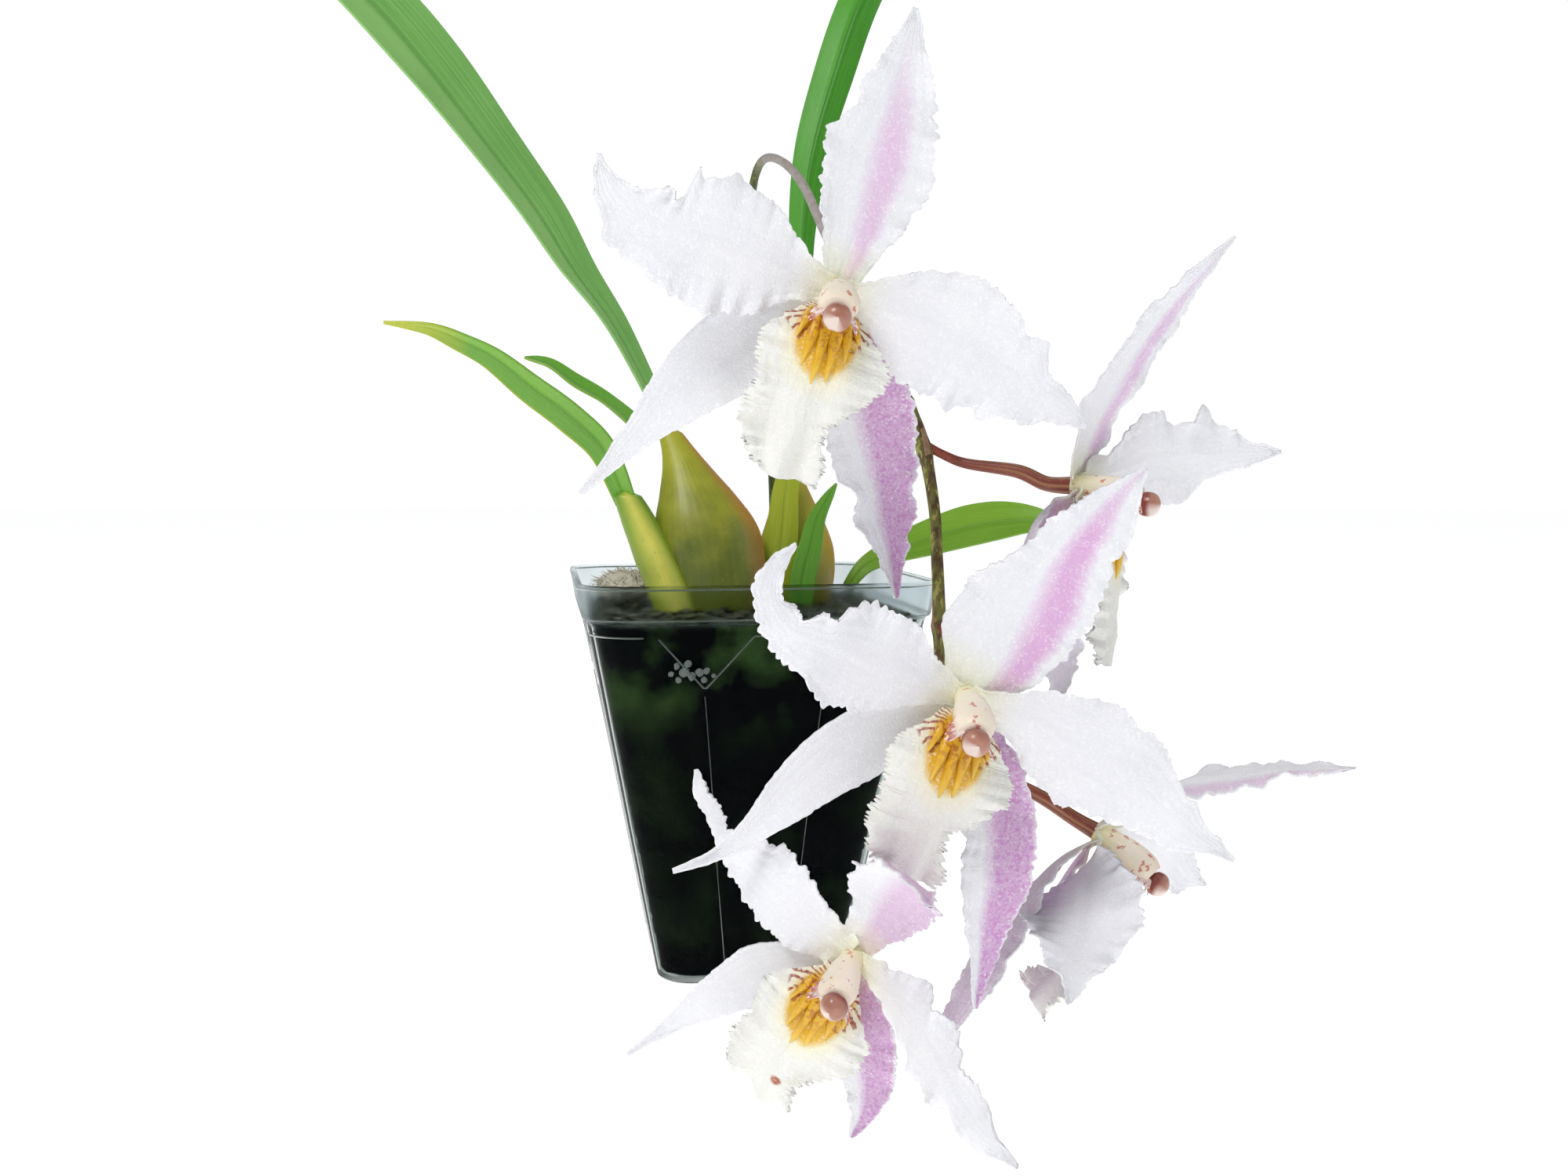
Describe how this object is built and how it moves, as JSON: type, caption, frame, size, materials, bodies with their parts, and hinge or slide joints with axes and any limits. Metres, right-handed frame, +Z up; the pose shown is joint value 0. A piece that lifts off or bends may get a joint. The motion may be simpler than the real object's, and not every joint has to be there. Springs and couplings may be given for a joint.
{
  "type": "potted orchid",
  "caption": "Orchid with fleshy bulbs and strap leaves in a clear square pot, its arching stem hanging forward with ruffled white flowers",
  "frame": {"origin": "middle of the flat underside of the pot, on the surface it stands on", "axes": "+Z up; -Y is the front of the pot, towards which the flower stem hangs; +X is the pot's right as seen from the front"},
  "size_m": [0.2342, 0.2297, 0.2985],
  "materials": {
    "clear_plastic": "clear, slightly green, glossy moulded plastic",
    "dark_mix": "damp chopped bark and charcoal",
    "pale_moss": "dry pale moss and bark fibre",
    "bulb_green": "smooth olive green skin, yellower at the top",
    "leaf_green": "smooth mid green leaf",
    "stem_olive": "olive brown stem with pale flecks",
    "stalk_maroon": "ribbed maroon flower stalk",
    "petal_white": "crystalline white petal with a faint lavender shade",
    "petal_pink": "pink sepal with a white margin",
    "lip_cream": "creamy white fringed lip with a yellow patch",
    "column_cream": "waxy cream column with red spots",
    "cap_pink": "waxy pinkish brown cap"
  },
  "bodies": {
    "root": {"pot": "clear_plastic", "potting_mix": "dark_mix", "moss_tuft": "pale_moss", "bulb_front": "bulb_green", "bulb_right": "bulb_green", "growth_left": "bulb_green", "leaf_large": "leaf_green", "leaf_upright": "leaf_green", "leaf_low_left": "leaf_green", "leaf_short": "leaf_green", "leaf_right": "leaf_green", "leaf_bract": "leaf_green", "leaf_strap": "leaf_green", "flower_stem": "stem_olive", "flower_top_stalk": "stalk_maroon", "flower_top_dorsal_sepal": "petal_white", "flower_top_petal_left": "petal_white", "flower_top_petal_right": "petal_white", "flower_top_lateral_sepal_left": "petal_pink", "flower_top_lateral_sepal_right": "petal_pink", "flower_top_lip": "lip_cream", "flower_top_column": "column_cream", "flower_top_anther_cap": "cap_pink", "flower_middle_stalk": "stalk_maroon", "flower_middle_dorsal_sepal": "petal_white", "flower_middle_petal_left": "petal_white", "flower_middle_petal_right": "petal_white", "flower_middle_lateral_sepal_left": "petal_pink", "flower_middle_lateral_sepal_right": "petal_pink", "flower_middle_lip": "lip_cream", "flower_middle_column": "column_cream", "flower_middle_anther_cap": "cap_pink", "flower_low_stalk": "stalk_maroon", "flower_low_dorsal_sepal": "petal_white", "flower_low_petal_left": "petal_white", "flower_low_petal_right": "petal_white", "flower_low_lateral_sepal_left": "petal_pink", "flower_low_lateral_sepal_right": "petal_pink", "flower_low_lip": "lip_cream", "flower_low_column": "column_cream", "flower_low_anther_cap": "cap_pink", "flower_right_stalk": "stalk_maroon", "flower_right_dorsal_sepal": "petal_white", "flower_right_petal_left": "petal_white", "flower_right_petal_right": "petal_white", "flower_right_lateral_sepal_left": "petal_pink", "flower_right_lateral_sepal_right": "petal_pink", "flower_right_lip": "lip_cream", "flower_right_column": "column_cream", "flower_right_anther_cap": "cap_pink", "flower_side_stalk": "stalk_maroon", "flower_side_dorsal_sepal": "petal_white", "flower_side_petal_left": "petal_white", "flower_side_petal_right": "petal_white", "flower_side_lateral_sepal_left": "petal_pink", "flower_side_lateral_sepal_right": "petal_pink", "flower_side_lip": "lip_cream", "flower_side_column": "column_cream", "flower_side_anther_cap": "cap_pink"}
  },
  "joints": []
}
